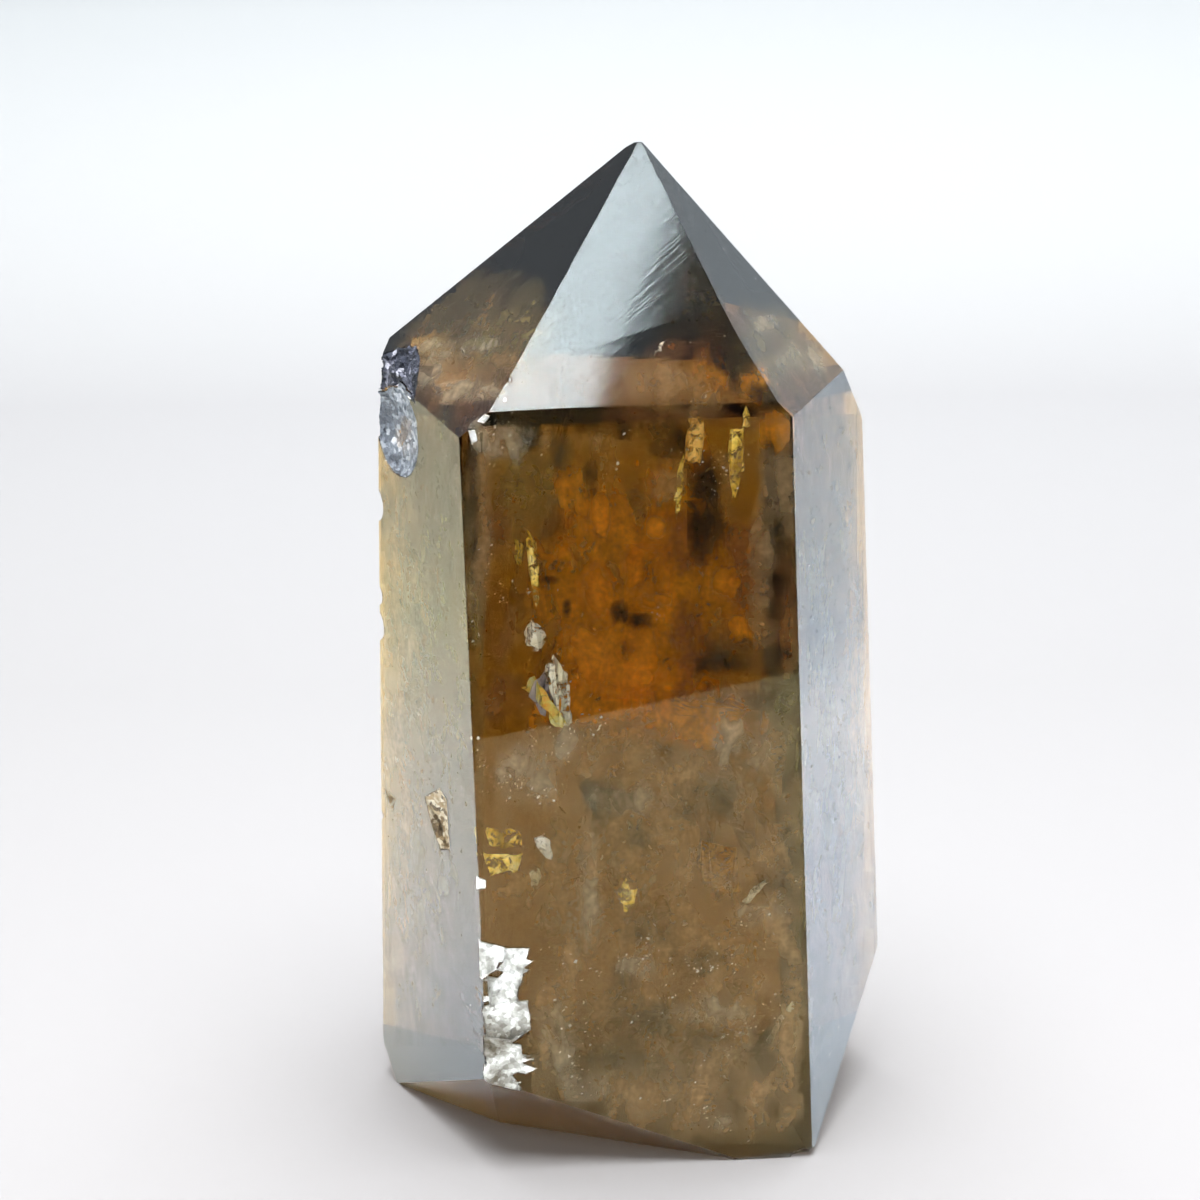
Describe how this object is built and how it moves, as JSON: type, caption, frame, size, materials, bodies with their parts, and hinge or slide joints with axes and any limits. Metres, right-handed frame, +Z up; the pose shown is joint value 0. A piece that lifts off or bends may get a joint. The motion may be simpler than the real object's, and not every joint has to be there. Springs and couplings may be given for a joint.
{
  "type": "smoky quartz point",
  "caption": "Free-standing polished smoky quartz point with a six-sided tip, a lifted front corner and a chipped upper edge, for display.",
  "frame": {"origin": "middle of the stone's box, on the ground under it", "axes": "+Z up along the crystal's own axis to its tip, the widest prism face looks along -Y, +X to the right of that face"},
  "size_m": [0.0514, 0.0368, 0.0997],
  "materials": {
    "smoky_quartz": "polished, see-through brown, with cloudy veils inside and rough broken patches"
  },
  "bodies": {
    "root": {"smoky_quartz_point": "smoky_quartz"}
  },
  "joints": []
}
